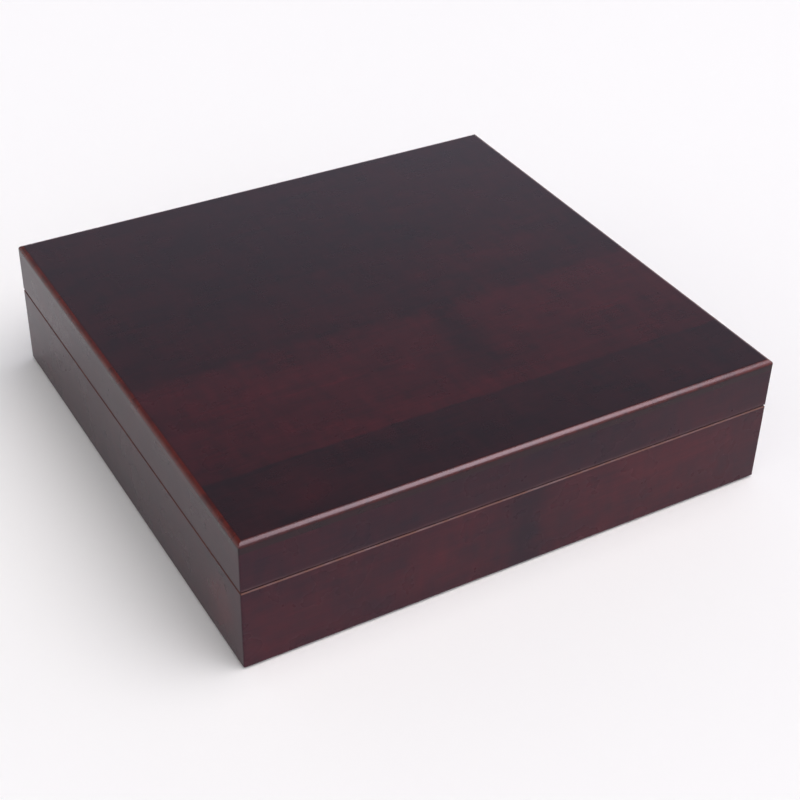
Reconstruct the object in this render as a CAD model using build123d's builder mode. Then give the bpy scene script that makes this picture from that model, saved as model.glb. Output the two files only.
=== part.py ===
"""Hinged wooden display case.

A shallow base tray and a lid of the same outline, each a frame of four mitred walls.
The tray has a panel let into its underside, with felt below it. The lid is closed by an overlaid
panel with rounded upper edges. Two brass butt hinges are let into the back rims, pairs of disc
magnets hold the front shut, and padded boards line both halves.

Millimetres. The origin is under the middle of the case, on the surface that it stands on.
+X runs to the right along the front, +Y to the back where the hinges are, and +Z up.
"""

import os
from itertools import product
from math import radians, sin, tan

from build123d import *

# Driving dimensions of the closed case
case_width = 305.0
case_depth = 292.0
case_height = 77.0
parting_height = 48.0  # middle of the gap between tray and lid
parting_gap = 0.5

# Timber
wall_thickness = 10.0
top_panel_thickness = 6.0
bottom_panel_thickness = 5.0
bottom_rabbet_depth = 5.0
panel_clearance = 0.1
top_roundover = 3.0
corner_round = 0.8  # vertical outside corners
parting_ease = 0.6  # outside arrises at the parting
inner_ease = 0.5
foot_ease = 0.5

# Loose splines across the mitres
spline_width = 7.0
spline_thickness = 2.0
spline_end_margin = 4.0  # timber left above and below a spline

# Felt and lining boards
felt_thickness = 1.0
felt_inset = 4.0
felt_corner = 3.0
liner_thickness = 2.5
liner_below_rim = 1.0
lining_gap = 0.3
floor_pad_thickness = 5.0
lid_pad_thickness = 5.0

# Hinges
hinge_spacing = 190.0
hinge_length = 30.0
hinge_axis_inset = 0.9  # from the case's back face to the pin's axis
leaf_reach = 7.6  # from the pin's axis to the leaf's inner edge
leaf_thickness = 1.2
leaf_corner = 1.2
knuckle_count = 5
knuckle_radius = 2.0
knuckle_side_gap = 0.1
barrel_clearance = 0.3
pin_radius = 0.9
pin_clearance = 0.05  # in the lid leaf, which turns; the tray leaf grips the pin
pin_end_round = 0.3
mortise_clearance = 0.1
lid_travel = 100.0  # degrees
stop_clearance = 0.05  # left between the back bevels when the lid is fully open

# Hinge screws
screw_spacing = 10.0
screw_count = 3
screw_row = 4.9  # from the pin's axis
screw_head_radius = 1.8
screw_shank_radius = 0.9
screw_length = 8.0
screw_tip = 1.5
screw_clearance = 0.05
screw_slot_width = 0.5
screw_slot_depth = 0.4

# Closing magnets
magnet_spacing = 200.0
magnet_radius = 3.0
magnet_thickness = 3.0
magnet_clearance = 0.05
magnet_proud = 0.22  # above its rim, so that the closed lid comes down on the magnets

# Levels and places that follow from the dimensions above
base_bottom = felt_thickness
base_rim = parting_height - parting_gap / 2
lid_rim = parting_height + parting_gap / 2
lid_wall_top = case_height - top_panel_thickness
tray_floor = base_bottom + bottom_panel_thickness
inner_width = case_width - 2 * wall_thickness
inner_depth = case_depth - 2 * wall_thickness
hinge_axis_y = case_depth / 2 - hinge_axis_inset
magnet_y = -case_depth / 2 + wall_thickness / 2
cut_margin = 2.0  # how far cutting shapes run past what they cut

os.makedirs("parts", exist_ok=True)


def write(piece, name):
    """Labels a finished piece and writes its STEP file."""
    piece.part.label = name
    export_step(piece.part, f"parts/{name}.step")


# ---------------------------------------------------------------- frames and their joinery


def frame_ring(bottom, top):
    """A rectangular ring with rounded outside corners, in the active part."""
    with BuildSketch(Plane.XY.offset(bottom)) as ring:
        RectangleRounded(case_width, case_depth, corner_round)
        Rectangle(inner_width, inner_depth, mode=Mode.SUBTRACT)
    extrude(ring.sketch, amount=top - bottom)


def ease_rim(frame, rim_face):
    """Eases the outside and inside arrises of a frame's rim."""
    outside = rim_face.outer_wire().edges()
    inside = ShapeList(edge for wire in rim_face.inner_wires() for edge in wire.edges())
    chamfer(outside, parting_ease)
    chamfer(inside, inner_ease)


def spline_outlines():
    """The four splines seen from above, each square across its mitre, in the active sketch."""
    x = case_width / 2 - wall_thickness / 2
    y = case_depth / 2 - wall_thickness / 2
    for side_x, side_y in product((-1, 1), repeat=2):
        with Locations((side_x * x, side_y * y)):
            Rectangle(spline_width, spline_thickness, rotation=-45 * side_x * side_y)


def spline_levels(bottom, top):
    return bottom + spline_end_margin, top - spline_end_margin


def cut_spline_slots(bottom, top):
    low, high = spline_levels(bottom, top)
    with BuildSketch(Plane.XY.offset(low)) as slots:
        spline_outlines()
    extrude(slots.sketch, amount=high - low, mode=Mode.SUBTRACT)


def magnet_outlines(radius):
    with Locations(*((side * magnet_spacing / 2, magnet_y) for side in (-1, 1))):
        Circle(radius)


def cut_magnet_pockets(rim, up):
    """Blind pockets from the rim; up is +1 where they rise into the lid and -1 in the tray."""
    with BuildSketch(Plane.XY.offset(rim)) as pockets:
        magnet_outlines(magnet_radius + magnet_clearance)
    extrude(pockets.sketch, amount=up * (magnet_thickness - magnet_proud), mode=Mode.SUBTRACT)


def cut_back_bevel(rim, up):
    """The bevel of the rim along the back. Tray and lid bevels meet when the lid is fully open,
    and stop it there, so each slopes by half of the travel."""
    slope = radians(lid_travel / 2)
    start = hinge_axis_y + parting_gap / 2 / tan(slope) - stop_clearance / 2 / sin(slope)
    end = case_depth / 2 + cut_margin
    drop = (end - start) * tan(slope)
    with BuildSketch(Plane.YZ.offset(-case_width / 2)) as bevel:
        with BuildLine():
            Polyline(
                (start, rim),
                (end, rim),
                (end, rim + up * drop),
                close=True,
            )
        make_face()
    extrude(bevel.sketch, amount=case_width, mode=Mode.SUBTRACT)


def mitred_wall(frame, side):
    """The side of a frame that faces front, back, left or right, cut off along its mitres."""
    half_x, half_y = case_width / 2, case_depth / 2
    out, inward = cut_margin, wall_thickness + cut_margin
    across = -1 if side in ("front", "left") else 1
    if side in ("front", "back"):
        outline = [
            (-half_x - out, across * (half_y + out)),
            (half_x + out, across * (half_y + out)),
            (half_x - inward, across * (half_y - inward)),
            (-half_x + inward, across * (half_y - inward)),
        ]
    else:
        outline = [
            (across * (half_x + out), -half_y - out),
            (across * (half_x + out), half_y + out),
            (across * (half_x - inward), half_y - inward),
            (across * (half_x - inward), -half_y + inward),
        ]
    with BuildPart() as wall:
        add(frame.part)
        with BuildSketch(Plane.XY):
            with BuildLine():
                Polyline(*outline, close=True)
            make_face()
        extrude(amount=case_height, mode=Mode.INTERSECT)
    return wall


# ---------------------------------------------------------------- hinges


def hinge_planes(up):
    """A plane on each pin's axis, left hinge first. Local +Y points to the case's back, and
    local +Z out of the leaf's open face: up (+1) from the tray or down (-1) from the lid."""
    return [
        Plane(
            origin=(side * hinge_spacing / 2, hinge_axis_y, parting_height),
            x_dir=(up, 0, 0),
            z_dir=(0, 0, up),
        )
        for side in (-1, 1)
    ]


def across_plane(plane, along):
    """The plane square to a pin's axis, a distance along it from the hinge's middle."""
    return Plane(
        origin=plane.from_local_coords((along, 0, 0)),
        x_dir=plane.y_dir,
        z_dir=plane.x_dir,
    )


def cut_mortise(plane):
    """The recess for one leaf and half of the barrel, open at the back face."""
    width = hinge_length + 2 * mortise_clearance
    open_back = hinge_axis_inset + cut_margin
    leaf_end = leaf_reach + mortise_clearance
    barrel_room = knuckle_radius + barrel_clearance
    for reach, depth in ((leaf_end, parting_gap / 2 + leaf_thickness), (barrel_room, barrel_room)):
        with BuildSketch(plane.offset(-depth)) as recess:
            with Locations((0, (open_back - reach) / 2)):
                Rectangle(width, open_back + reach)
        extrude(recess.sketch, amount=depth, mode=Mode.SUBTRACT)


def knuckle_starts(own):
    """Where each of the leaf's own knuckles begins along the pin; own is 0 or 1, for every
    second place from the end or from the one after it."""
    pitch = hinge_length / knuckle_count
    return [-hinge_length / 2 + pitch * i for i in range(own, knuckle_count, 2)]


def hinge_leaf(plane, own, bore):
    """One leaf: a countersunk plate, rolled into knuckles round the pin."""
    pitch = hinge_length / knuckle_count
    knuckle_length = pitch - 2 * knuckle_side_gap
    barrel_room = knuckle_radius + barrel_clearance
    plate_back = -barrel_room
    neck_back = -(knuckle_radius + bore) / 2
    with BuildPart() as leaf:
        # Plate, with a neck to each knuckle
        with BuildSketch(plane.offset(-parting_gap / 2 - leaf_thickness)) as plate:
            with Locations((0, (plate_back - leaf_reach) / 2)):
                Rectangle(hinge_length, leaf_reach + plate_back)
            fillet(plate.vertices().group_by(Axis.Y)[0], leaf_corner)
            for start in knuckle_starts(own):
                middle = start + pitch / 2
                with Locations((middle, (plate_back + neck_back) / 2)):
                    Rectangle(knuckle_length, neck_back - plate_back)
        extrude(amount=leaf_thickness)
        # Knuckles
        for start in knuckle_starts(own):
            with BuildSketch(across_plane(plane, start + knuckle_side_gap)):
                Circle(knuckle_radius)
            extrude(amount=knuckle_length)
        with BuildSketch(across_plane(plane, -hinge_length / 2)):
            Circle(bore)
        extrude(amount=hinge_length, mode=Mode.SUBTRACT)
        # Screw holes, countersunk from the open face
        open_face = plane.offset(-parting_gap / 2).location
        with Locations(*(open_face * place for place in screw_places())):
            CounterSinkHole(
                radius=screw_shank_radius + screw_clearance,
                counter_sink_radius=screw_head_radius + screw_clearance,
                depth=leaf_thickness + cut_margin,
                counter_sink_angle=90,
            )
    return leaf


def screw_places():
    """The screws' places in a leaf's own plane."""
    first = -screw_spacing * (screw_count - 1) / 2
    return [Location((first + screw_spacing * i, -screw_row, 0)) for i in range(screw_count)]


def hinge_pin(plane):
    with BuildPart() as pin:
        with BuildSketch(across_plane(plane, -hinge_length / 2)):
            Circle(pin_radius)
        extrude(amount=hinge_length)
        fillet(pin.edges().filter_by(GeomType.CIRCLE), pin_end_round)
    return pin


def cut_screw_pilots(plane):
    """Pilot holes for one leaf's screws, from the bottom of its mortise."""
    with BuildSketch(plane.offset(-parting_gap / 2 - leaf_thickness)) as pilots:
        with Locations(*(place.position for place in screw_places())):
            Circle(screw_shank_radius + screw_clearance)
    extrude(pilots.sketch, amount=-screw_length, mode=Mode.SUBTRACT)


def hinge_screws(planes):
    """All the screws of the leaves on these planes, as separate solids."""
    with BuildPart() as screws:
        for plane, place in product(planes, screw_places()):
            head = plane.offset(-parting_gap / 2)
            centre = head.from_local_coords(place.position)
            with BuildSketch(Plane(origin=centre, x_dir=plane.x_dir, z_dir=-plane.y_dir)):
                with BuildLine():
                    Polyline(
                        (0, 0),
                        (screw_head_radius, 0),
                        (screw_shank_radius, screw_shank_radius - screw_head_radius),
                        (screw_shank_radius, screw_tip - screw_length),
                        (0, -screw_length),
                        close=True,
                    )
                make_face()
            revolve(axis=Axis(centre, plane.z_dir))
            with BuildSketch(Plane(origin=centre, x_dir=plane.x_dir, z_dir=plane.z_dir)):
                Rectangle(2 * screw_head_radius, screw_slot_width, rotation=30)
            extrude(amount=-screw_slot_depth, mode=Mode.SUBTRACT)
    return screws


# ---------------------------------------------------------------- padded boards


def lining_boards(bottom, top):
    """The four boards that stand against a frame's walls, by side."""
    long_x = inner_width - 2 * lining_gap
    long_y = inner_depth - 2 * (liner_thickness + 2 * lining_gap)
    at_x = inner_width / 2 - lining_gap - liner_thickness / 2
    at_y = inner_depth / 2 - lining_gap - liner_thickness / 2
    places = {
        "front": (0, -at_y, long_x, liner_thickness),
        "back": (0, at_y, long_x, liner_thickness),
        "left": (-at_x, 0, liner_thickness, long_y),
        "right": (at_x, 0, liner_thickness, long_y),
    }
    boards = {}
    for side, (x, y, size_x, size_y) in places.items():
        with BuildPart() as board:
            with BuildSketch(Plane.XY.offset(bottom)):
                with Locations((x, y)):
                    Rectangle(size_x, size_y)
            extrude(amount=top - bottom)
        boards[side] = board
    return boards


def pad_between_boards(bottom, thickness):
    """A flat pad that fills the space inside the four lining boards."""
    margin = 2 * (liner_thickness + 2 * lining_gap)
    with BuildPart() as pad:
        with BuildSketch(Plane.XY.offset(bottom)):
            Rectangle(inner_width - margin, inner_depth - margin)
        extrude(amount=thickness)
    return pad


# ---------------------------------------------------------------- tray

tray_hinges = hinge_planes(up=1)
lid_hinges = hinge_planes(up=-1)

with BuildPart() as tray_frame:
    frame_ring(base_bottom, base_rim)
    chamfer(tray_frame.faces().sort_by(Axis.Z)[0].outer_wire().edges(), foot_ease)
    ease_rim(tray_frame, tray_frame.faces().sort_by(Axis.Z)[-1])
    # Rabbet for the bottom panel
    with BuildSketch(Plane.XY.offset(base_bottom)):
        Rectangle(inner_width + 2 * bottom_rabbet_depth, inner_depth + 2 * bottom_rabbet_depth)
    extrude(amount=bottom_panel_thickness, mode=Mode.SUBTRACT)
    cut_spline_slots(tray_floor, base_rim)
    cut_magnet_pockets(base_rim, up=-1)
    cut_back_bevel(base_rim, up=-1)
    for hinge in tray_hinges:
        cut_mortise(hinge)
        cut_screw_pilots(hinge)

for side in ("front", "back", "left", "right"):
    write(mitred_wall(tray_frame, side), f"base_{side}_wall")

with BuildPart() as base_bottom_panel:
    with BuildSketch(Plane.XY.offset(base_bottom)):
        Rectangle(
            inner_width + 2 * (bottom_rabbet_depth - panel_clearance),
            inner_depth + 2 * (bottom_rabbet_depth - panel_clearance),
        )
    extrude(amount=bottom_panel_thickness)
write(base_bottom_panel, "base_bottom_panel")

with BuildPart() as base_felt_sheet:
    with BuildSketch(Plane.XY):
        RectangleRounded(case_width - 2 * felt_inset, case_depth - 2 * felt_inset, felt_corner)
    extrude(amount=felt_thickness)
write(base_felt_sheet, "base_felt_sheet")

with BuildPart() as base_corner_splines:
    low, high = spline_levels(tray_floor, base_rim)
    with BuildSketch(Plane.XY.offset(low)):
        spline_outlines()
    extrude(amount=high - low)
write(base_corner_splines, "base_corner_splines")

with BuildPart() as base_magnets:
    with BuildSketch(Plane.XY.offset(base_rim + magnet_proud)):
        magnet_outlines(magnet_radius)
    extrude(amount=-magnet_thickness)
write(base_magnets, "base_magnets")

write(pad_between_boards(tray_floor, floor_pad_thickness), "base_floor_pad")
for side, board in lining_boards(tray_floor, base_rim - liner_below_rim).items():
    write(board, f"base_{side}_liner")

# ---------------------------------------------------------------- lid

with BuildPart() as lid_frame:
    frame_ring(lid_rim, lid_wall_top)
    ease_rim(lid_frame, lid_frame.faces().sort_by(Axis.Z)[0])
    cut_spline_slots(lid_rim, lid_wall_top)
    cut_magnet_pockets(lid_rim, up=1)
    cut_back_bevel(lid_rim, up=1)
    for hinge in lid_hinges:
        cut_mortise(hinge)
        cut_screw_pilots(hinge)

for side in ("front", "back", "left", "right"):
    write(mitred_wall(lid_frame, side), f"lid_{side}_wall")

with BuildPart() as lid_top_panel:
    with BuildSketch(Plane.XY.offset(lid_wall_top)):
        Rectangle(case_width, case_depth)
    extrude(amount=top_panel_thickness)
    fillet(lid_top_panel.faces().sort_by(Axis.Z)[-1].edges(), top_roundover)
    with BuildSketch(Plane.XY.offset(lid_wall_top)):
        RectangleRounded(case_width, case_depth, corner_round)
    extrude(amount=top_panel_thickness, mode=Mode.INTERSECT)
write(lid_top_panel, "lid_top_panel")

with BuildPart() as lid_corner_splines:
    low, high = spline_levels(lid_rim, lid_wall_top)
    with BuildSketch(Plane.XY.offset(low)):
        spline_outlines()
    extrude(amount=high - low)
write(lid_corner_splines, "lid_corner_splines")

with BuildPart() as lid_magnets:
    with BuildSketch(Plane.XY.offset(lid_rim - magnet_proud)):
        magnet_outlines(magnet_radius)
    extrude(amount=magnet_thickness)
write(lid_magnets, "lid_magnets")

write(pad_between_boards(lid_wall_top - lid_pad_thickness, lid_pad_thickness), "lid_lining_pad")
for side, board in lining_boards(lid_rim + liner_below_rim, lid_wall_top).items():
    write(board, f"lid_{side}_liner")

# ---------------------------------------------------------------- hinges and their screws

for hand, tray_plane, lid_plane in zip(("left", "right"), tray_hinges, lid_hinges):
    write(hinge_leaf(tray_plane, own=0, bore=pin_radius), f"hinge_{hand}_base_leaf")
    write(hinge_leaf(lid_plane, own=1, bore=pin_radius + pin_clearance), f"hinge_{hand}_lid_leaf")
    write(hinge_pin(tray_plane), f"hinge_{hand}_pin")

write(hinge_screws(tray_hinges), "hinge_base_screws")
write(hinge_screws(lid_hinges), "hinge_lid_screws")
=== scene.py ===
"""Looks for the hinged wooden display case, in metres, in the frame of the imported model.

The timber, hinges, screws and magnets are the CAD nodes with procedural materials. The pads and
their stitches, the cloth-covered lining boards and the felt are made here, in the places of their
plain CAD solids.
"""

from math import cos, pi, radians, sin

import bmesh
import bpy
from mathutils import Euler, Matrix, Vector, noise
from mathutils.bvhtree import BVHTree


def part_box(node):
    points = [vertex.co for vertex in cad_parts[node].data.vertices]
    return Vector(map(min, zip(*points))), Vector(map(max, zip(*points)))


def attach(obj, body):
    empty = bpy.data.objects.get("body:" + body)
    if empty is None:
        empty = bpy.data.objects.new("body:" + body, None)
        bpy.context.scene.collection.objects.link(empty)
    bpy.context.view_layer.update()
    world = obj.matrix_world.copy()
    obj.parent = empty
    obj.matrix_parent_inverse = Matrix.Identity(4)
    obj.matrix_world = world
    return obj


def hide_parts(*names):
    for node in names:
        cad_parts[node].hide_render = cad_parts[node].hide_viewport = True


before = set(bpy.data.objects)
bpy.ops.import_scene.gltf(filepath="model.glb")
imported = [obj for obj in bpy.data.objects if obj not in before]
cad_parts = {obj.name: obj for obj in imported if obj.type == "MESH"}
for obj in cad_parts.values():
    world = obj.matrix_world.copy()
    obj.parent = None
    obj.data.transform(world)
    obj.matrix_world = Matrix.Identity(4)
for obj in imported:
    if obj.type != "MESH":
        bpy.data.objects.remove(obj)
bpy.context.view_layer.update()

MM = 0.001

# Camera, with no shift and no depth of field
CAMERA_AZIMUTH = -30.66  # degrees, 0 looks along +Y
CAMERA_ELEVATION = 36.03
CAMERA_ROLL = 1.5
CAMERA_AIM = Vector((0.0043, -0.0177, 0.0200))
CAMERA_DISTANCE = 0.8967
CAMERA_LENS = 72.65  # mm, on a 36 mm sensor


# ---------------------------------------------------------------- node helpers


def new_material(name):
    """A material with an empty tree, its Principled shader and its output, already linked."""
    material = bpy.data.materials.new(name)
    material.use_nodes = True
    tree = material.node_tree
    tree.nodes.clear()
    shader = tree.nodes.new("ShaderNodeBsdfPrincipled")
    output = tree.nodes.new("ShaderNodeOutputMaterial")
    tree.links.new(shader.outputs["BSDF"], output.inputs["Surface"])
    return material, tree, shader


def fix(shader, **values):
    """Sets values that are the same all over the surface. An underscore stands for a space."""
    for name, value in values.items():
        shader.inputs[name.replace("_", " ")].default_value = value


def feed(tree, socket, value):
    """Links a socket to another, or sets its value."""
    if isinstance(value, bpy.types.NodeSocket):
        tree.links.new(value, socket)
    else:
        socket.default_value = value


def node(tree, kind, inputs=None, **settings):
    made = tree.nodes.new("ShaderNode" + kind)
    for setting, value in settings.items():
        setattr(made, setting, value)
    for key, value in (inputs or {}).items():
        feed(tree, made.inputs[key], value)
    return made


def maths(tree, operation, *values):
    return node(tree, "Math", dict(enumerate(values)), operation=operation).outputs[0]


def vector(tree, operation, *values, scale=None):
    inputs = dict(enumerate(values))
    if scale is not None:
        inputs["Scale"] = scale
    made = node(tree, "VectorMath", inputs, operation=operation)
    return made.outputs["Value" if operation == "LENGTH" else "Vector"]


def along_axis(tree, value, axis):
    return node(tree, "SeparateXYZ", {0: value}).outputs[axis]


def remap(tree, value, low, high, to_low=0.0, to_high=1.0, smooth=True):
    kind = "SMOOTHSTEP" if smooth else "LINEAR"
    inputs = {
        "Value": value,
        "From Min": low,
        "From Max": high,
        "To Min": to_low,
        "To Max": to_high,
    }
    return node(tree, "MapRange", inputs, interpolation_type=kind).outputs["Result"]


def mix_colour(tree, factor, first, second, blend="MIX"):
    made = node(tree, "Mix", data_type="RGBA", blend_type=blend)
    feed(tree, made.inputs["Factor"], factor)
    feed(tree, made.inputs["A"], (*first, 1.0) if isinstance(first, tuple) else first)
    feed(tree, made.inputs["B"], (*second, 1.0) if isinstance(second, tuple) else second)
    return made.outputs["Result"]


def object_coordinates(tree):
    """Rest coordinates in the row's frame, and the surface's normal in that frame."""
    made = node(tree, "TexCoord")
    return made.outputs["Object"], made.outputs["Normal"]


def speckle(tree, place, size, seed, detail=2.0, roughness=0.5, distortion=0.0):
    """Noise whose features are about `size` metres along X, Y and Z, or the same along all."""
    lengths = size if isinstance(size, tuple) else (size, size, size)
    scale = tuple(1.0 / length for length in lengths)
    scaled = node(tree, "Mapping", {"Vector": place, "Scale": scale}).outputs["Vector"]
    inputs = {
        "Vector": scaled,
        "W": float(seed),
        "Scale": 1.0,
        "Detail": detail,
        "Roughness": roughness,
        "Distortion": distortion,
    }
    return node(tree, "TexNoise", inputs, noise_dimensions="4D").outputs["Fac"]


def bump(tree, height, strength, distance, below=None):
    inputs = {"Height": height, "Strength": strength, "Distance": distance}
    if below is not None:
        inputs["Normal"] = below
    return node(tree, "Bump", inputs).outputs["Normal"]


def give(material, *names):
    """Puts a material on every slot of these CAD nodes."""
    for name in names:
        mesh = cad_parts[name].data
        if not mesh.materials:
            mesh.materials.append(material)
        for index in range(len(mesh.materials)):
            mesh.materials[index] = material


# ---------------------------------------------------------------- timber

# The top's and the walls' dark and red are one stain, set paler and bluer on the walls as painted
# light for the cooler light on the upright faces
TOP_DARK = (0.0140, 0.0064, 0.0086)
TOP_RED = (0.0520, 0.0082, 0.0115)
WALL_DARK = (0.0165, 0.0066, 0.0132)
WALL_RED = (0.0630, 0.0086, 0.0145)
STAIN_THIN = (0.090, 0.0145, 0.0110)  # on the rounded upper edges
TRAY_EDGE_TAN = (0.135, 0.052, 0.034)  # on the front arrises at the parting, worn by opening
# The lid's arrises are bare wood too, but paler: painted light on that downward arris, which sits
# in shade
LID_EDGE_WORN_AND_LIT = (0.190, 0.090, 0.075)
EDGE_RED = (0.110, 0.040, 0.032)  # on the same arrises round the other sides
# The lid front's pale band just over the parting is a painted reflection
PAINTED_RIM_REFLECTION = (0.078, 0.036, 0.040)  # on the lid's front, just over the parting

BIRCH = ((0.55, 0.38, 0.22), (0.40, 0.25, 0.13))  # pale and dark
BEECH = ((0.50, 0.32, 0.19), (0.36, 0.21, 0.11))
PLAIN_RINGS = (0.14, 0.006)  # along the grain and across it
PLAIN_FIBRES = (0.02, 0.0004)

TOP_INDEX = 1.33
WALL_INDEX = 1.30
LACQUER_TINT = (0.98, 0.90, 1.0, 1.0)
LACQUER_ROUGH = 0.28
ROUGH_SPREAD = 0.012  # either way, in soft patches
BARE_ROUGH = 0.65

# How a board's red varies: (size along the grain, size across it, detail, how much)
FIGURE = (
    (0.090, 0.030, 2.0, 0.80),  # clouds
    (0.0150, 0.0090, 3.0, 0.95),  # mottling
    (0.0045, 0.0170, 1.0, 0.60),  # curl, in bars across the grain
    (0.050, 0.0024, 2.0, 0.65),  # streaks
)
LEAST_LIVELINESS = 0.4  # of the figure, where the stain hides all the red

GLUE_LINE_WANDER = 0.012  # size of the wanderings
PATCH_WANDER = 0.016
PATCH_STRAY = 0.004  # how far a patch's outline strays

# Sizes of details: along the grain and across it, or along X, Y and Z, or the same along all
FIBRES = (0.012, 0.00035)
FIBRE_SHADE = (0.82, 1.18)  # how dark and how light they make the wood
PORES = (0.004, 0.00022)
LACQUER_FLOW = 0.0025
HANDLED = 0.02
FLAKES = (0.0045, 0.0045, 0.0030)
# Break-up of the painted reflection over the lid's front rim
BAND_BREAKUP = (0.012, 0.012, 0.001)

# How far each pattern's seed is from its board's. The figure's own are the first few
FIBRE_SEED, FLAKE_SEED, PORE_SEED, FLOW_SEED, HANDLED_SEED, BAND_BREAKUP_SEED = range(10, 16)
GLUE_LINE_SEED = 20
PATCH_SEED = 30

# Rubbing shows on surfaces between upright and level. These are heights of the surface's normal,
# where rubbing sets in and where it ends
RUBBED_FROM = (0.06, 0.45)
RUBBED_TO = (0.965, 0.998)
FRONT_NORMAL = (-0.45, -0.05)  # the normal along Y, from the front arrises to the others

# Painted reflection: the pale band over the lid's front rim
RIM_REFLECTION_REACH = (0.5 * MM, 2.6 * MM)  # heights over the rim where it starts to fade and ends


def along_grain(grain, long, wide):
    """A size that is long in the grain's direction and wide across it."""
    return tuple(long if axis == grain else wide for axis in "XYZ")


def at_share(low, high, share):
    """The point at these shares of the way from one corner of a box to the other."""
    return Vector(l + (h - l) * s for l, h, s in zip(low, high, share))


def patch(tree, place, middle, reach):
    """1 in the middle of a soft-edged patch, and 0 beyond its reach."""
    offset = vector(tree, "SUBTRACT", place, middle)
    distance = vector(tree, "LENGTH", vector(tree, "DIVIDE", offset, reach))
    return remap(tree, distance, 0.15, 1.0, 1.0, 0.0)


def wander(tree, place, size, seed, amount):
    """The place, shifted unevenly by up to about this amount."""
    scaled = vector(tree, "SCALE", place, scale=1.0 / size)
    inputs = {"Vector": scaled, "W": float(seed), "Scale": 1.0, "Detail": 3.0}
    shift = node(tree, "TexNoise", inputs, noise_dimensions="4D").outputs["Color"]
    centred = vector(tree, "SUBTRACT", shift, (0.5, 0.5, 0.5))
    # Centred noise stays within about a quarter either way, and 4 brings that up to the amount
    return vector(tree, "ADD", place, vector(tree, "SCALE", centred, scale=4 * amount))


def redness(tree, place, low, high, grain, seed, red, boards, patches):
    """How much of the red shows through the stain, from 0 to 1. Redder wood is livelier."""
    shown = red
    for number, (share, blur, change) in enumerate(boards):
        where = low.y + (high.y - low.y) * share
        strayed = wander(tree, place, GLUE_LINE_WANDER, seed + GLUE_LINE_SEED + number, blur)
        depth = along_axis(tree, strayed, "Y")
        beyond = remap(tree, depth, where - blur, where + blur)
        shown = maths(tree, "MULTIPLY_ADD", beyond, change, shown)
    strayed = wander(tree, place, PATCH_WANDER, seed + PATCH_SEED, PATCH_STRAY)
    for share, reach, change in patches:
        spot = patch(tree, strayed, at_share(low, high, share), reach)
        shown = maths(tree, "MULTIPLY_ADD", spot, change, shown)
    liveliness = maths(tree, "ADD", shown, LEAST_LIVELINESS)
    for number, (long, wide, detail, amount) in enumerate(FIGURE):
        size = along_grain(grain, long, wide)
        wave = speckle(tree, place, size, seed + number, detail, roughness=0.55)
        wave = maths(tree, "MULTIPLY", maths(tree, "SUBTRACT", wave, 0.5), liveliness)
        shown = maths(tree, "MULTIPLY_ADD", wave, amount, shown)
    return maths(tree, "MAXIMUM", maths(tree, "MINIMUM", shown, 1.0), 0.0)


def rubbed_edge(tree, place, normal, low, high, seed, front_share):
    """How thin the stain is on arrises: where the surface is neither level nor upright. front_share
    is how much of that the front arrises show at their left end and at their right end."""
    tilt = maths(tree, "ABSOLUTE", along_axis(tree, normal, "Z"))
    not_upright = remap(tree, tilt, *RUBBED_FROM)
    not_level = remap(tree, tilt, *RUBBED_TO, 1.0, 0.0)
    flakes = speckle(tree, place, FLAKES, seed + FLAKE_SEED, detail=3.0, roughness=0.6)
    flaked = remap(tree, flakes, 0.34, 0.60, 0.45, 1.0)
    share = remap(tree, along_axis(tree, place, "X"), low.x, high.x, *front_share, smooth=False)
    by_side = remap(tree, along_axis(tree, normal, "Y"), *FRONT_NORMAL, share, 1.0)
    slanted = maths(tree, "MULTIPLY", not_upright, not_level)
    return maths(tree, "MULTIPLY", maths(tree, "MULTIPLY", slanted, flaked), by_side)


def rim_reflection_band(tree, place, seed, rim):
    """A pale band of painted reflection over the lid's front rim, standing in for light that a
    rounder
    arris would catch: 1 at the rim's height, and 0 well over it.
    """
    over = maths(tree, "SUBTRACT", along_axis(tree, place, "Z"), rim)
    near = remap(tree, over, *RIM_REFLECTION_REACH, 1.0, 0.0)
    breakup = speckle(tree, place, BAND_BREAKUP, seed + BAND_BREAKUP_SEED, detail=3.0, roughness=0.6)
    return maths(tree, "MULTIPLY", near, remap(tree, breakup, 0.35, 0.65, 0.3, 1.0))


def lacquer_skin(tree, place, grain, seed):
    """The normal of satin lacquer that has sunk a little into the pores."""
    pores = speckle(tree, place, along_grain(grain, *PORES), seed + PORE_SEED, detail=1.0)
    over_pores = remap(tree, pores, 0.60, 0.72, 1.0, 0.0)
    sunken = bump(tree, over_pores, strength=0.12, distance=0.04 * MM)
    flow = speckle(tree, place, LACQUER_FLOW, seed + FLOW_SEED, detail=1.0)
    return bump(tree, flow, strength=0.06, distance=0.1 * MM, below=sunken)


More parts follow.
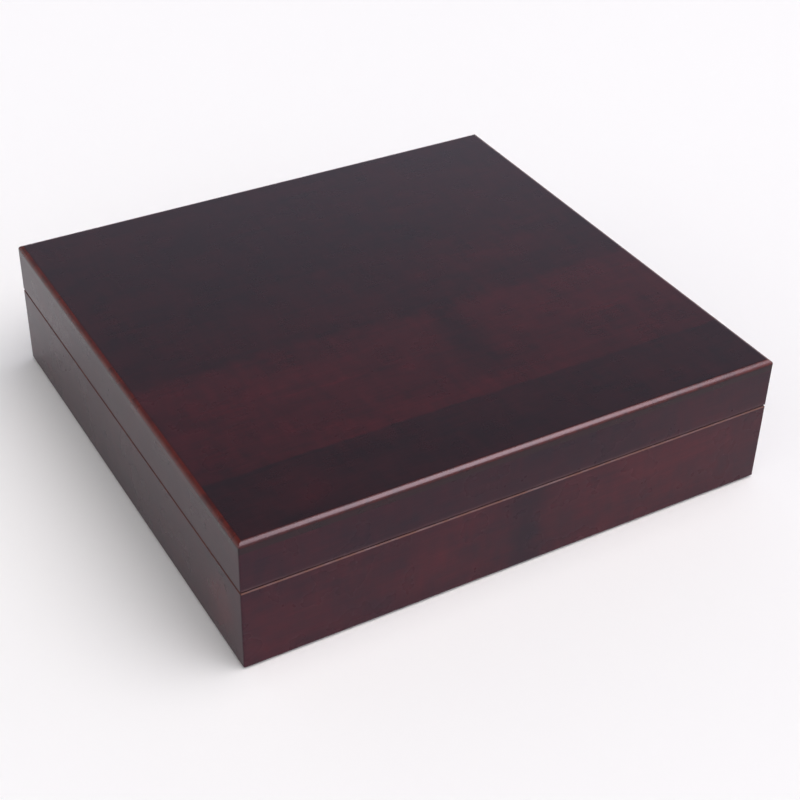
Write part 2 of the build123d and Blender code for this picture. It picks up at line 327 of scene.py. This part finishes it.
def stained_wood(
    name, grain, seed, red, edge, dark=WALL_DARK, full_red=WALL_RED, index=WALL_INDEX,
    edge_rough=BARE_ROUGH, front_share=(1.0, 1.0), reflection_rim=None, boards=(), patches=(),
):
    """Timber under dark red stain and satin lacquer, for the CAD node of this name.

    grain is the letter of the axis that the fibres follow, and red how much of the red shows, from
    0 to 1. boards lists (share of the depth where a glued board starts, half the width of its glue
    line's blur, how much redder it is), and patches (middle, as shares of the node's box; reach in
    metres; how much redder). edge and edge_rough are the colour and roughness on rounded and
    bevelled arrises, and front_share is how much of that the front ones show. A rim height, given
    for the lid's front, lays a pale band of painted reflection just over that rim.
    """
    material, tree, shader = new_material("rosewood_" + name)
    place, normal = object_coordinates(tree)
    low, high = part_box(name)

    shown = redness(tree, place, low, high, grain, seed, red, boards, patches)
    colour = mix_colour(tree, shown, dark, full_red)
    fibres = speckle(tree, place, along_grain(grain, *FIBRES), seed + FIBRE_SEED)
    shade = remap(tree, fibres, 0.25, 0.75, *FIBRE_SHADE, smooth=False)
    grey = node(tree, "CombineXYZ", {axis: shade for axis in "XYZ"}).outputs[0]
    colour = mix_colour(tree, 1.0, colour, grey, "MULTIPLY")
    # Painted reflection: a pale band just over the lid's front rim
    if reflection_rim is not None:
        colour = mix_colour(tree, rim_reflection_band(tree, place, seed, reflection_rim), colour, PAINTED_RIM_REFLECTION)
    # Where the stain is thin on arrises; on the lid's front the edge colour laid here is also
    # painted light
    thin = rubbed_edge(tree, place, normal, low, high, seed, front_share)
    feed(tree, shader.inputs["Base Color"], mix_colour(tree, thin, colour, edge))

    handled = speckle(tree, place, HANDLED, seed + HANDLED_SEED, detail=3.0)
    rough = LACQUER_ROUGH - ROUGH_SPREAD, LACQUER_ROUGH + ROUGH_SPREAD
    gloss = remap(tree, handled, 0.3, 0.7, *rough)
    bared = maths(tree, "MULTIPLY", thin, edge_rough - LACQUER_ROUGH)
    feed(tree, shader.inputs["Roughness"], maths(tree, "ADD", gloss, bared))
    fix(shader, IOR=index, Specular_Tint=LACQUER_TINT)
    feed(tree, shader.inputs["Normal"], lacquer_skin(tree, place, grain, seed))
    give(material, name)


def plain_timber(name, grain, pale, dark, seed):
    """Unstained timber that shows only when the case is taken apart."""
    material, tree, shader = new_material(name)
    place, _ = object_coordinates(tree)
    size = along_grain(grain, *PLAIN_RINGS)
    rings = speckle(tree, place, size, seed, detail=3.0, roughness=0.55, distortion=0.8)
    fibres = speckle(tree, place, along_grain(grain, *PLAIN_FIBRES), seed + 1)
    colour = mix_colour(tree, remap(tree, rings, 0.3, 0.7), dark, pale)
    colour = mix_colour(tree, remap(tree, fibres, 0.35, 0.75, 0.0, 0.25), colour, dark)
    feed(tree, shader.inputs["Base Color"], colour)
    fix(shader, Roughness=0.62)
    feed(tree, shader.inputs["Normal"], bump(tree, fibres, strength=0.3, distance=0.06 * MM))
    return material


def finish_top_panel():
    """Boards glued side by side: a dark one in front, a red one, and a wide dark one."""
    boards = ((0.154, 0.0010, 0.40), (0.438, 0.0045, -0.34))
    patches = (
        ((0.570, 0.31, 1), (0.018, 0.050, 1), -0.34),
        ((0.45, 0.185, 1), (0.110, 0.010, 1), 0.22),
        ((0.27, 0.308, 1), (0.085, 0.0013, 1), 0.20),
        ((0.84, 0.288, 1), (0.048, 0.0013, 1), 0.20),
        ((0.76, 0.58, 1), (0.060, 0.034, 1), 0.20),
        ((0.32, 0.80, 1), (0.110, 0.090, 1), -0.12),
        ((0.80, 0.06, 1), (0.022, 0.030, 1), 0.16),
        ((0.15, 0.07, 1), (0.022, 0.022, 1), 0.14),
    )
    stained_wood(
        "lid_top_panel", "X", seed=11, red=0.12, edge=STAIN_THIN,
        dark=TOP_DARK, full_red=TOP_RED, index=TOP_INDEX, edge_rough=LACQUER_ROUGH,
        front_share=(0.55, 1.0), boards=boards, patches=patches,
    )


def finish_walls():
    lid_front = (
        ((0.07, 0, 0.3), (0.045, 1, 0.040), 0.20),
        ((0.90, 0, 0.4), (0.070, 1, 0.040), 0.16),
    )
    base_front = (
        ((0.37, 0, 0.5), (0.036, 1, 0.040), 0.26),
        ((0.51, 0, 0.5), (0.015, 1, 0.060), -0.34),
        ((0.76, 0, 0.6), (0.085, 1, 0.045), 0.28),
        ((0.05, 0, 0.5), (0.030, 1, 0.030), 0.14),
    )
    base_left = (((0, 0.085, 0.45), (1, 0.024, 0.024), 0.50),)
    # The lid's front gets a pale band of painted reflection over its rim
    lid_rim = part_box("lid_front_wall")[0].z
    # Its arrises are paler bare wood, as painted light on their shaded underside
    stained_wood(
        "lid_front_wall", "X", seed=23, red=0.18, edge=LID_EDGE_WORN_AND_LIT,
        reflection_rim=lid_rim, patches=lid_front,
    )
    stained_wood("lid_back_wall", "X", seed=37, red=0.25, edge=EDGE_RED)
    stained_wood("lid_left_wall", "Y", seed=51, red=0.22, edge=EDGE_RED)
    stained_wood("lid_right_wall", "Y", seed=65, red=0.30, edge=EDGE_RED)
    stained_wood(
        "base_front_wall", "X", seed=79, red=0.42, edge=TRAY_EDGE_TAN, patches=base_front
    )
    stained_wood("base_back_wall", "X", seed=93, red=0.38, edge=EDGE_RED)
    stained_wood("base_left_wall", "Y", seed=107, red=0.25, edge=EDGE_RED, patches=base_left)
    stained_wood("base_right_wall", "Y", seed=121, red=0.40, edge=EDGE_RED)


def finish_hidden_timber():
    give(plain_timber("birch_plywood", "X", *BIRCH, seed=5), "base_bottom_panel")
    beech = plain_timber("beech_splines", "Z", *BEECH, seed=9)
    give(beech, "base_corner_splines", "lid_corner_splines")


# ---------------------------------------------------------------- metal

# Colour, colour under the film, least roughness
BRASS = ((0.50, 0.36, 0.17), (0.41, 0.28, 0.12), 0.30)
SCREW_BRASS = ((0.44, 0.31, 0.14), (0.28, 0.18, 0.07), 0.34)
NICKEL = ((0.50, 0.49, 0.46), (0.36, 0.35, 0.33), 0.26)
SCRATCH_ROUGH = 0.16  # how much rougher the scratches are

# Sizes of details: along X, Y and Z, or the same along all
FILM_PATCHES = 0.004
SCRATCHES = (0.012, 0.0002, 0.0002)


def worked_metal(name, colour, shade, rough, seed):
    """Polished metal with fine scratches and a thin uneven film."""
    material, tree, shader = new_material(name)
    place, _ = object_coordinates(tree)
    patches = speckle(tree, place, FILM_PATCHES, seed, detail=3.0, roughness=0.6)
    film = remap(tree, patches, 0.4, 0.75)
    scratches = speckle(tree, place, SCRATCHES, seed + 1, roughness=0.6)
    roughness = remap(tree, scratches, 0.3, 0.75, rough, rough + SCRATCH_ROUGH)
    feed(tree, shader.inputs["Base Color"], mix_colour(tree, film, colour, shade))
    feed(tree, shader.inputs["Roughness"], roughness)
    fix(shader, Metallic=1.0)
    feed(tree, shader.inputs["Normal"], bump(tree, scratches, strength=0.12, distance=0.02 * MM))
    return material


def finish_metal():
    brass = worked_metal("lacquered_brass", *BRASS, seed=3)
    leaves = [f"hinge_{hand}_{half}_leaf" for hand in ("left", "right") for half in ("base", "lid")]
    give(brass, *leaves, "hinge_left_pin", "hinge_right_pin")
    screw_brass = worked_metal("brass_screws", *SCREW_BRASS, seed=8)
    give(screw_brass, "hinge_base_screws", "hinge_lid_screws")
    nickel = worked_metal("nickel_plate", *NICKEL, seed=13)
    give(nickel, "base_magnets", "lid_magnets")


# ---------------------------------------------------------------- cloth

# Dark and pale, which brushing or the weave mixes, and a third for a part of the fibres
VELVET = ((0.0035, 0.0035, 0.0045), (0.0150, 0.0140, 0.0170), (0.022, 0.021, 0.024))
SATIN = ((0.60, 0.47, 0.30), (0.70, 0.57, 0.39), (0.40, 0.29, 0.17))
FELT = ((0.008, 0.008, 0.009), (0.024, 0.023, 0.025), (0.06, 0.058, 0.06))
CHARCOAL_THREAD = ((0.060, 0.058, 0.064), (0.020, 0.019, 0.022))  # pale and dark
GOLD_THREAD = ((0.62, 0.47, 0.27), (0.36, 0.25, 0.12))

# Sizes of details: along X, Y and Z, or the same along all
BRUSHED = (0.060, 0.020, 0.050)
PILE = 0.0006
SATIN_FLOATS = (0.0030, 0.00025, 0.0030)
SATIN_BARS = (0.0004, 0.010, 0.010)
SATIN_TONE = (0.06, 0.04, 0.06)
THREAD_STRANDS = 0.0003
MATTED_WOOL = 0.0012
STRAY_FIBRES = (0.0035, 0.0004, 0.0035)


def velvet(name):
    """Short black pile, brushed in slightly different directions."""
    material, tree, shader = new_material(name)
    place, _ = object_coordinates(tree)
    dark, pale, tips = VELVET
    brushed = speckle(tree, place, BRUSHED, seed=3, detail=3.0, roughness=0.55, distortion=1.2)
    pile = speckle(tree, place, PILE, seed=5, roughness=0.6)
    colour = mix_colour(tree, remap(tree, brushed, 0.38, 0.62), dark, pale)
    colour = mix_colour(tree, remap(tree, pile, 0.5, 0.75, 0.0, 0.5), colour, tips)
    feed(tree, shader.inputs["Base Color"], colour)
    fix(shader, Roughness=0.92, Specular_IOR_Level=0.2)
    fix(shader, Sheen_Weight=0.38, Sheen_Roughness=0.35, Sheen_Tint=(0.5, 0.5, 0.56, 1.0))
    feed(tree, shader.inputs["Normal"], bump(tree, pile, strength=0.7, distance=0.3 * MM))
    return material


def satin(name):
    """Champagne satin: long floats one way, with faint bars across them."""
    material, tree, shader = new_material(name)
    place, _ = object_coordinates(tree)
    dark, pale, gaps = SATIN
    floats = speckle(tree, place, SATIN_FLOATS, seed=2)
    bars = speckle(tree, place, SATIN_BARS, seed=4)
    tone = speckle(tree, place, SATIN_TONE, seed=6, detail=3.0)
    threads = maths(tree, "MULTIPLY_ADD", bars, 0.35, maths(tree, "MULTIPLY", floats, 0.65))
    colour = mix_colour(tree, remap(tree, tone, 0.3, 0.7), dark, pale)
    colour = mix_colour(tree, remap(tree, threads, 0.3, 0.7, 0.35, 0.0), colour, gaps)
    feed(tree, shader.inputs["Base Color"], colour)
    feed(tree, shader.inputs["Roughness"], remap(tree, threads, 0.3, 0.7, 0.42, 0.30))
    fix(shader, Anisotropic=0.4, Sheen_Weight=0.15)
    feed(tree, shader.inputs["Normal"], bump(tree, threads, strength=0.35, distance=0.1 * MM))
    return material


def sewing_thread(name, pale, dark):
    """Twisted thread: fine bright strands with darker grooves between them."""
    material, tree, shader = new_material(name)
    place, _ = object_coordinates(tree)
    strands = speckle(tree, place, THREAD_STRANDS, seed=7, roughness=0.6)
    colour = mix_colour(tree, remap(tree, strands, 0.35, 0.65), dark, pale)
    feed(tree, shader.inputs["Base Color"], colour)
    fix(shader, Roughness=0.55, Sheen_Weight=0.3)
    feed(tree, shader.inputs["Normal"], bump(tree, strands, strength=0.6, distance=0.1 * MM))
    return material


def felt(name):
    """Thin pressed wool: matted fibres and a few lighter ones."""
    material, tree, shader = new_material(name)
    place, _ = object_coordinates(tree)
    dark, pale, light = FELT
    matted = speckle(tree, place, MATTED_WOOL, seed=1, detail=5.0, roughness=0.7, distortion=1.2)
    stray = speckle(tree, place, STRAY_FIBRES, seed=4, detail=3.0, roughness=0.6, distortion=2.0)
    colour = mix_colour(tree, remap(tree, matted, 0.3, 0.7), dark, pale)
    colour = mix_colour(tree, remap(tree, stray, 0.62, 0.75, 0.0, 0.5), colour, light)
    feed(tree, shader.inputs["Base Color"], colour)
    fix(shader, Roughness=0.95, Sheen_Weight=0.25)
    feed(tree, shader.inputs["Normal"], bump(tree, matted, strength=0.8, distance=0.3 * MM))
    return material


# ---------------------------------------------------------------- pads and their stitches

PAD_EDGE_ROUND = 4.0 * MM
PAD_EDGE_TURNS = 4  # grid lines round the pad's edge
PAD_EDGE_SHARE = 0.25  # height of the very edge, as a share of the pad's
PAD_STEP = 4.0 * MM
PAD_BORDER = 16.0 * MM  # from the pad's edge to its sewn line
SEAM_HALF = 1.4 * MM  # half the width of the valley that the sewing pulls in
SEAM_SHARE = 0.45  # height at the sewn line, as a share of the pad's
PAD_SIM_FRAMES = 20
PAD_PRESSURE = 1.2
PAD_SWELL = 2.2 * MM  # the furthest that a point may move
LOOSE_HOLD = 0.05  # how firmly the wadding holds the cloth where nothing else does
EDGE_HOLD = 0.2 * MM  # how far in from the very edge the cloth is held firmly

STITCH_PITCH = 4.2 * MM
STITCH_LENGTH = 3.3 * MM
STITCH_RINGS = 7
STITCH_RISE = 1.3  # of its middle over its ends, in thread radii
STITCH_SINK = 0.7  # of its ends into the cloth, in thread radii
THREAD_RADIUS = 0.42 * MM
THREAD_END = 0.55  # radius at a stitch's ends, as a share
THREAD_SIDES = 8


def object_from(maker, name, material):
    mesh = bpy.data.meshes.new(name)
    maker.to_mesh(mesh)
    maker.free()
    mesh.materials.append(material)
    mesh.shade_smooth()
    piece = bpy.data.objects.new(name, mesh)
    bpy.context.scene.collection.objects.link(piece)
    return piece


def lines_across(low, high):
    """Grid lines from low to high: close together at both ends and beside the two sewn lines."""
    turns = [pi / 2 * i / PAD_EDGE_TURNS for i in range(PAD_EDGE_TURNS)]
    side = [PAD_EDGE_ROUND * (1 - cos(turn)) for turn in turns]
    side += [PAD_EDGE_ROUND, PAD_BORDER / 2, PAD_BORDER - PAD_STEP]
    side += [PAD_BORDER - SEAM_HALF, PAD_BORDER, PAD_BORDER + SEAM_HALF]
    start = PAD_BORDER + PAD_STEP
    inner = high - low - 2 * start
    count = round(inner / PAD_STEP)
    middle = [start + inner * i / count for i in range(count + 1)]
    return [low + offset for offset in side + middle] + [high - offset for offset in reversed(side)]


def pad_height(distance, thickness):
    """Height over the pad's back at a distance inside its edge, before it swells."""
    inside = min(distance / PAD_EDGE_ROUND, 1.0)
    arc = (1 - (1 - inside) ** 2) ** 0.5
    return thickness * (PAD_EDGE_SHARE + (1 - PAD_EDGE_SHARE) * arc)


def swell(piece, pinned, pressure, cap):
    """Runs a cloth simulation with air inside, and keeps its result. pinned maps a vertex to how
    firmly it is held, and no vertex moves further than the cap."""
    rest = [vertex.co.copy() for vertex in piece.data.vertices]
    group = piece.vertex_groups.new(name="held")
    for index, weight in pinned.items():
        group.add([index], weight, "REPLACE")
    modifier = piece.modifiers.new("cloth", "CLOTH")
    cloth = modifier.settings
    cloth.quality = 6
    cloth.mass = 0.2
    cloth.tension_stiffness = 12
    cloth.compression_stiffness = 6
    cloth.bending_stiffness = 0.3
    cloth.vertex_group_mass = group.name
    cloth.pin_stiffness = 1.0
    cloth.shrink_min = -0.012
    cloth.use_pressure = True
    cloth.uniform_pressure_force = pressure
    cloth.effector_weights.gravity = 0
    modifier.collision_settings.use_collision = False
    scene = bpy.context.scene
    for number in range(1, PAD_SIM_FRAMES + 1):
        scene.frame_set(number)
    shaped = piece.evaluated_get(bpy.context.evaluated_depsgraph_get()).data
    moved = [vertex.co.copy() for vertex in shaped.vertices]
    piece.modifiers.remove(modifier)
    piece.vertex_groups.remove(group)
    scene.frame_set(1)
    for vertex, before, after in zip(piece.data.vertices, rest, moved):
        step = after - before
        limit = cap / max(step.length, cap)
        vertex.co = before + step * limit


def grid_faces(maker, grid, columns, flip):
    for i in range(len(grid) // columns - 1):
        for j in range(columns - 1):
            corner = i * columns + j
            opposite = corner + columns
            quad = [grid[corner], grid[opposite], grid[opposite + 1], grid[corner + 1]]
            maker.faces.new(quad[::-1] if flip else quad)


def grid_rim(rows, columns):
    """Indices of a grid's outside vertices, in order round it."""
    rim = [i * columns for i in range(rows)]
    rim += [(rows - 1) * columns + j for j in range(1, columns)]
    rim += [i * columns + columns - 1 for i in range(rows - 2, -1, -1)]
    rim += list(range(columns - 2, 0, -1))
    return rim


def pad_shape(low, high, up):
    """A pad before it swells, and how firmly each of its vertices is held, from 0 to 1."""
    back = low.z if up > 0 else high.z
    xs = lines_across(low.x, high.x)
    ys = lines_across(low.y, high.y)
    maker = bmesh.new()
    fronts, held = [], {}
    for x in xs:
        for y in ys:
            inside = min(x - low.x, high.x - x, y - low.y, high.y - y)
            at_edge = inside < EDGE_HOLD
            sewn = abs(inside - PAD_BORDER) < SEAM_HALF / 2
            height = pad_height(inside, high.z - low.z) * (SEAM_SHARE if sewn else 1.0)
            fronts.append(maker.verts.new((x, y, back + up * height)))
            held[len(held)] = 1.0 if sewn or at_edge else LOOSE_HOLD
    backs = [maker.verts.new((x, y, back)) for x in xs for y in ys]
    held.update((len(fronts) + index, 1.0) for index in range(len(backs)))

    grid_faces(maker, fronts, len(ys), up < 0)
    grid_faces(maker, backs, len(ys), up > 0)
    rim = grid_rim(len(xs), len(ys))
    for a, b in zip(rim, rim[1:] + rim[:1]):
        quad = [backs[a], backs[b], fronts[b], fronts[a]]
        maker.faces.new(quad if up > 0 else quad[::-1])
    return maker, held


def wadded_pad(node_name, name, up, material):
    """A pad glued down by its back: rounded edges, a sewn line round the border, and a swollen
    face. up is +1 where it faces up and -1 where it hangs under the lid."""
    maker, held = pad_shape(*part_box(node_name), up)
    piece = object_from(maker, name, material)
    swell(piece, held, PAD_PRESSURE, PAD_SWELL)
    smooth = piece.modifiers.new("smooth", "SUBSURF")
    smooth.levels = smooth.render_levels = 1
    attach(piece, "tray" if up > 0 else "lid")
    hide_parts(node_name)
    return piece


def add_stitch(maker, cloth, middle, along, up, clear):
    """One stitch, thickest in the middle, arched over the cloth with both ends sunk into it."""
    across = Vector((-along.y, along.x))
    rings = []
    for ring in range(STITCH_RINGS):
        share = ring / (STITCH_RINGS - 1)
        arch = sin(pi * share)
        spot = middle + along * (share - 0.5) * STITCH_LENGTH
        level = cloth.ray_cast(Vector((*spot, clear)), Vector((0, 0, -up)))[0].z
        level += up * THREAD_RADIUS * (STITCH_RISE * arch - STITCH_SINK)
        radius = THREAD_RADIUS * (THREAD_END + (1 - THREAD_END) * arch)
        turns = [2 * pi * side / THREAD_SIDES for side in range(THREAD_SIDES)]
        flat = [spot + across * radius * cos(turn) for turn in turns]
        heights = [level + radius * sin(turn) for turn in turns]
        rings.append([maker.verts.new((*place, height)) for place, height in zip(flat, heights)])
    for first, second in zip(rings, rings[1:]):
        for i in range(THREAD_SIDES):
            j = (i + 1) % THREAD_SIDES
            maker.faces.new((first[i], first[j], second[j], second[i]))
    maker.faces.new(rings[0][::-1])
    maker.faces.new(rings[-1])


def stitching(pad, node_name, name, up, material):
    """A row of stitches in the pad's sewn valley."""
    low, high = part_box(node_name)
    left, right = low.x + PAD_BORDER, high.x - PAD_BORDER
    front, back = low.y + PAD_BORDER, high.y - PAD_BORDER
    rectangle = ((left, front), (right, front), (right, back), (left, back))
    corners = [Vector(corner) for corner in rectangle]
    clear = high.z + PAD_BORDER if up > 0 else low.z - PAD_BORDER
    cloth = BVHTree.FromObject(pad, bpy.context.evaluated_depsgraph_get())
    maker = bmesh.new()
    for start, end in zip(corners, corners[1:] + corners[:1]):
        along = (end - start).normalized()
        count = round((end - start).length / STITCH_PITCH)
        for number in range(count):
            add_stitch(maker, cloth, start.lerp(end, (number + 0.5) / count), along, up, clear)
    bmesh.ops.recalc_face_normals(maker, faces=maker.faces)
    piece = object_from(maker, name, material)
    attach(piece, "tray" if up > 0 else "lid")


# ---------------------------------------------------------------- lining boards and felt

BOARD_ROUND = 0.8 * MM
BOARD_CUT_LONG = 6 * MM  # length of a board's mesh cells
BOARD_CUT_HIGH = 5 * MM
CLOTH_DIP = 0.05  # how much thinner a board is where its cloth dips most
CLOTH_DIPS_PER_METRE = 30

FELT_CORNER = 3.0 * MM
FELT_CORNER_TURNS = 6


def edges_along(maker, axis, least):
    edges = [(edge, edge.verts[0].co - edge.verts[1].co) for edge in maker.edges]
    return [edge for edge, span in edges if abs(span[axis]) > least]


def covered_board(node_name, name, body, material, seed):
    """A thin board wrapped in cloth: rounded edges, and a face that isn't quite flat."""
    low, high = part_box(node_name)
    size = high - low
    long_axis = 0 if size.x > size.y else 1
    face_axis = 1 - long_axis
    maker = bmesh.new()
    bmesh.ops.create_cube(maker, size=1.0)
    bmesh.ops.scale(maker, vec=size, verts=maker.verts)
    rounding = {"offset": BOARD_ROUND, "segments": 3, "profile": 0.6, "affect": "EDGES"}
    bmesh.ops.bevel(maker, geom=maker.edges[:], **rounding)
    for axis, cell in ((long_axis, BOARD_CUT_LONG), (2, BOARD_CUT_HIGH)):
        edges = edges_along(maker, axis, size[axis] / 2)
        cuts = round(size[axis] / cell)
        bmesh.ops.subdivide_edges(maker, edges=edges, cuts=cuts, use_grid_fill=True)
    for vertex in maker.verts:
        place = vertex.co * CLOTH_DIPS_PER_METRE + Vector((seed, seed, 0))
        vertex.co[face_axis] *= 1 - CLOTH_DIP * abs(noise.noise(place))
    bmesh.ops.translate(maker, vec=(low + high) / 2, verts=maker.verts)
    piece = object_from(maker, name, material)
    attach(piece, body)
    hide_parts(node_name)


def felt_sheet(node_name, name, material):
    """The felt that the case stands on, with rounded corners."""
    low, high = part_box(node_name)
    middle, size = (low + high) / 2, high - low
    inner_x, inner_y = size.x / 2 - FELT_CORNER, size.y / 2 - FELT_CORNER
    maker = bmesh.new()
    outline = []
    for sign_x, sign_y, start in ((1, 1, 0), (-1, 1, 90), (-1, -1, 180), (1, -1, 270)):
        centre = Vector((sign_x * inner_x, sign_y * inner_y, 0))
        for i in range(FELT_CORNER_TURNS + 1):
            turn = radians(start + 90 * i / FELT_CORNER_TURNS)
            point = centre + Vector((cos(turn), sin(turn), 0)) * FELT_CORNER
            outline.append(maker.verts.new((point.x + middle.x, point.y + middle.y, low.z)))
    raised = bmesh.ops.extrude_face_region(maker, geom=[maker.faces.new(outline)])["geom"]
    risen = [item for item in raised if isinstance(item, bmesh.types.BMVert)]
    bmesh.ops.translate(maker, vec=(0, 0, size.z), verts=risen)
    bmesh.ops.recalc_face_normals(maker, faces=maker.faces)
    piece = object_from(maker, name, material)
    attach(piece, "tray")
    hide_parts(node_name)


def finish_soft_goods():
    pile = velvet("black_velvet")
    silk = satin("champagne_satin")
    charcoal = sewing_thread("charcoal_thread", *CHARCOAL_THREAD)
    gold = sewing_thread("gold_thread", *GOLD_THREAD)
    floor_cushion = wadded_pad("base_floor_pad", "floor_cushion", 1, pile)
    lid_cushion = wadded_pad("lid_lining_pad", "lid_cushion", -1, silk)
    stitching(floor_cushion, "base_floor_pad", "floor_stitching", 1, charcoal)
    stitching(lid_cushion, "lid_lining_pad", "lid_stitching", -1, gold)
    for seed, side in enumerate(("front", "back", "left", "right")):
        covered_board(f"base_{side}_liner", f"tray_board_{side}", "tray", pile, seed)
        covered_board(f"lid_{side}_liner", f"lid_board_{side}", "lid", silk, seed + 10)
    felt_sheet("base_felt_sheet", "underside_felt", felt("black_felt"))


# ---------------------------------------------------------------- studio

FLOOR_HALF = 8.0
PAPER = ((0.93, 0.93, 0.925), (0.95, 0.95, 0.945))  # the floor's darkest and palest
PAPER_MOTTLE = 0.4

HORIZON = (1.0, 1.0, 1.0)
SKY_LEFT = (0.61, 0.625, 0.635)
SKY_RIGHT = (1.02, 1.05, 1.28)
ZENITH_STRENGTH = 0.2

# Where the sky changes, as parts of its direction: leftmost to rightmost, and low to high
LEFT_TO_RIGHT = (-0.6, 0.5)
HORIZON_TO_SKY = (0.04, 0.26)
BRIGHT_TO_DIM = (0.20, 0.72)

# Directions from the case to the lights
OVERHEAD = (0.28, -0.30, 0.91)
LEFT = (-0.80, -0.25, 0.55)
STRIP = (0.41, -0.535, 0.741)
BROAD_SPREAD = 64  # degrees
STRIP_DISTANCE = 1.9
STRIP_SIZE = (0.85, 2.1)


def make_floor():
    maker = bmesh.new()
    bmesh.ops.create_grid(maker, x_segments=1, y_segments=1, size=FLOOR_HALF)
    material, tree, shader = new_material("studio_floor")
    place, _ = object_coordinates(tree)
    mottle = speckle(tree, place, PAPER_MOTTLE, seed=1)
    feed(tree, shader.inputs["Base Color"], mix_colour(tree, mottle, *PAPER))
    fix(shader, Roughness=0.9)
    floor = object_from(maker, "studio_floor", material)


def make_world():
    """White at the horizon, like a paper sweep, and dim overhead, more so on the left."""
    world = bpy.data.worlds.new("studio")
    bpy.context.scene.world = world
    world.use_nodes = True
    tree = world.node_tree
    tree.nodes.clear()
    direction = node(tree, "SeparateXYZ", {0: node(tree, "TexCoord").outputs["Generated"]})
    rightward = remap(tree, direction.outputs["X"], *LEFT_TO_RIGHT)
    raised = remap(tree, direction.outputs["Z"], *HORIZON_TO_SKY)
    strength = remap(tree, direction.outputs["Z"], *BRIGHT_TO_DIM, 1.0, ZENITH_STRENGTH)
    sky = mix_colour(tree, rightward, SKY_LEFT, SKY_RIGHT)
    colour = mix_colour(tree, raised, HORIZON, sky)
    background = node(tree, "Background", {"Color": colour, "Strength": strength})
    output = node(tree, "OutputWorld")
    tree.links.new(background.outputs[0], output.inputs["Surface"])


def new_light(name, kind, power, colour):
    light = bpy.data.lights.new(name, kind)
    light.energy = power
    light.color = colour
    lamp = bpy.data.objects.new(name, light)
    bpy.context.scene.collection.objects.link(lamp)
    return lamp


def broad_light(name, direction, power, colour):
    """A soft light from far off, which lights the whole floor evenly."""
    lamp = new_light(name, "SUN", power, colour)
    lamp.data.angle = radians(BROAD_SPREAD)
    lamp.rotation_euler = Vector(direction).to_track_quat("Z", "Y").to_euler()


def strip_light(name, direction, power, colour):
    """A rectangular light facing the case, with its width along X, which adds gloss only. It gives
    the lid's front upper edge its pale line."""
    lamp = new_light(name, "AREA", power, colour)
    lamp.data.shape = "RECTANGLE"
    lamp.data.size, lamp.data.size_y = STRIP_SIZE
    toward = Vector(direction).normalized()
    length_axis = toward.cross(Vector((1, 0, 0))).normalized()
    width_axis = length_axis.cross(toward)
    turn = Matrix((width_axis, length_axis, toward)).transposed()
    lamp.matrix_world = Matrix.Translation(toward * STRIP_DISTANCE) @ turn.to_4x4()
    lamp.visible_diffuse = False


def make_lights():
    broad_light("overhead_light", OVERHEAD, power=2.24, colour=(1.0, 0.955, 0.94))
    broad_light("left_fill", LEFT, power=0.35, colour=(1.0, 0.97, 0.95))
    strip_light("strip_softbox", STRIP, power=77.0, colour=(1.0, 0.92, 0.95))


def make_camera():
    data = bpy.data.cameras.new("camera")
    data.lens = CAMERA_LENS
    data.sensor_width = 36.0
    data.clip_start = 0.01
    camera = bpy.data.objects.new("camera", data)
    azimuth, elevation = radians(CAMERA_AZIMUTH), radians(CAMERA_ELEVATION)
    away = Vector((sin(azimuth) * cos(elevation), -cos(azimuth) * cos(elevation), sin(elevation)))
    camera.location = CAMERA_AIM + away * CAMERA_DISTANCE
    level = away.to_track_quat("Z", "Y").to_matrix()
    roll = Euler((0, 0, radians(CAMERA_ROLL))).to_matrix()
    camera.rotation_euler = (level @ roll).to_euler()
    bpy.context.scene.collection.objects.link(camera)
    bpy.context.scene.camera = camera


finish_top_panel()
finish_walls()
finish_hidden_timber()
finish_metal()
finish_soft_goods()
make_floor()
make_world()
make_lights()
make_camera()
bpy.context.scene.view_settings.view_transform = "Standard"
